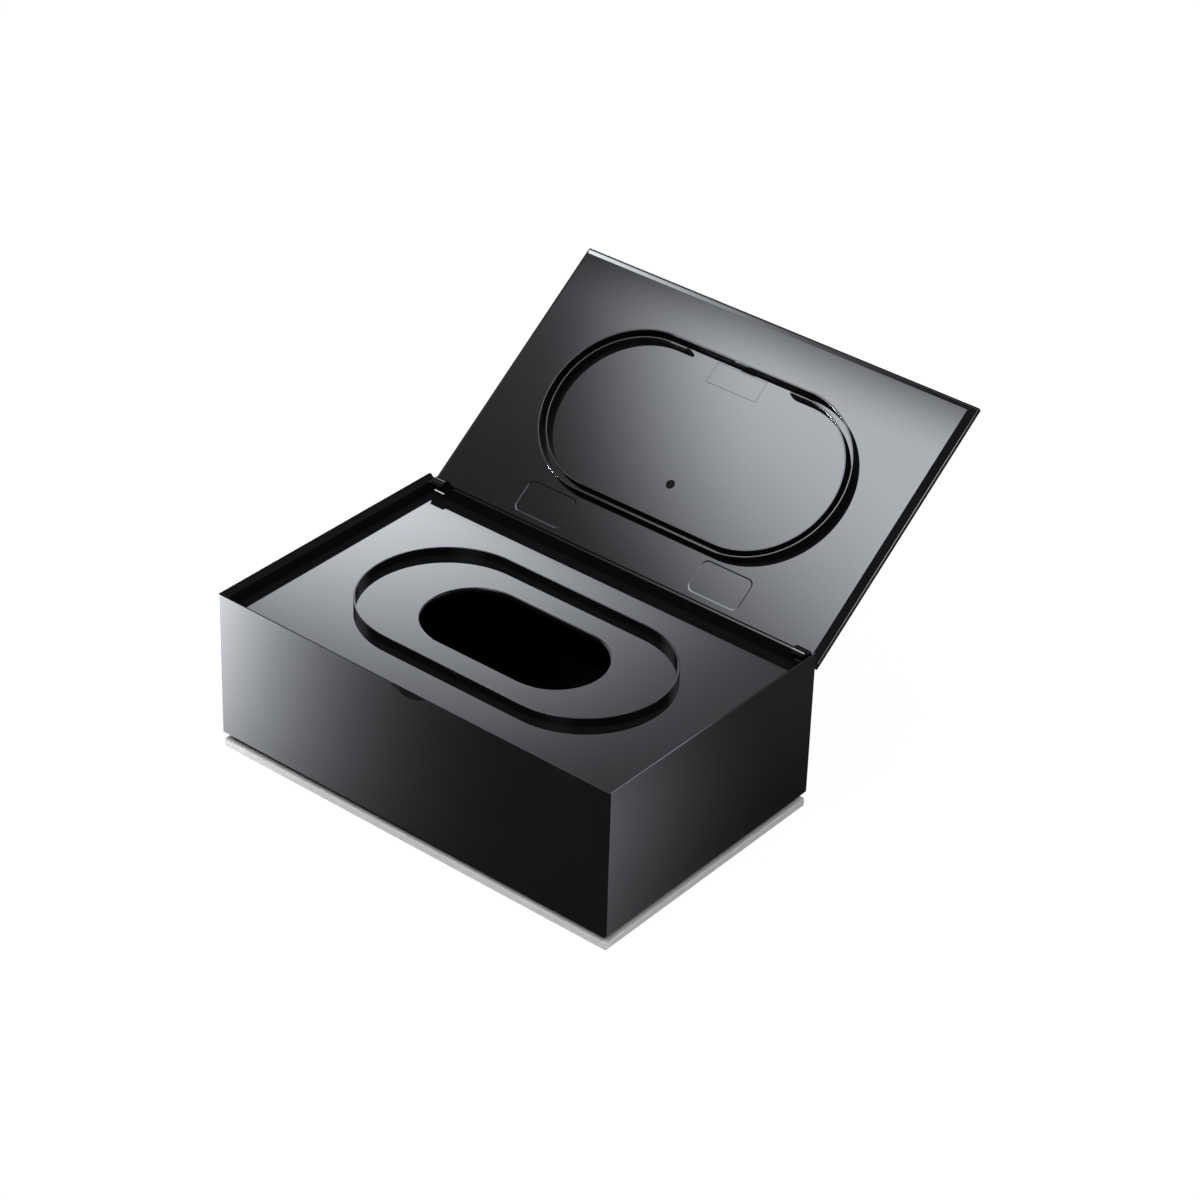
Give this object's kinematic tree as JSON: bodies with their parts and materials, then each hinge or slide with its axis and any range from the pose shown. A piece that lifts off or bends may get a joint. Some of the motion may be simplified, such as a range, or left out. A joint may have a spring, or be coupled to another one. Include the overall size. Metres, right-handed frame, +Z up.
{
  "type": "wet wipes box",
  "caption": "Glossy black box for wet wipes with a bevelled flat lid on a pin hinge, a raised sealing collar round the oval opening, and a pale base plate under a shadow gap.",
  "frame": {"origin": "centre of the plane that the four feet stand on, midway between the case's outer side faces and front and rear faces", "axes": "+X to the box's right seen from its front, +Y from its front to its hinge side, +Z up"},
  "size_m": [0.2, 0.2262, 0.1392],
  "materials": {
    "gloss_black": "polished black moulding",
    "matte_black": "fine matt black moulding",
    "matte_grey": "fine matt pale grey moulding",
    "pin_steel": "ground steel",
    "screw_steel": "plated steel",
    "seal_rubber": "matt black silicone",
    "foot_rubber": "matt dark silicone"
  },
  "bodies": {
    "base": {"base_plate": "matte_grey", "base_tray": "matte_black", "base_seal": "seal_rubber", "base_screws": "screw_steel", "foot_front_left": "foot_rubber", "foot_front_right": "foot_rubber", "foot_rear_left": "foot_rubber", "foot_rear_right": "foot_rubber"},
    "case": {"case_shell": "gloss_black", "deck_plate": "gloss_black", "deck_screws": "screw_steel", "hinge_pin_left": "pin_steel", "hinge_pin_right": "pin_steel"},
    "lid": {"lid_panel": "gloss_black", "lid_cover": "gloss_black"}
  },
  "joints": [
    {"name": "case_lift", "type": "slide", "parent": "base", "child": "case", "axis": [0, 0, 1], "range_m": [0, 0.07]},
    {"name": "lid_hinge", "type": "hinge", "parent": "case", "child": "lid", "pos_m": [0, 0.06095, 0.0699], "axis": [1, 0, 0], "range_deg": [0, 144]}
  ]
}
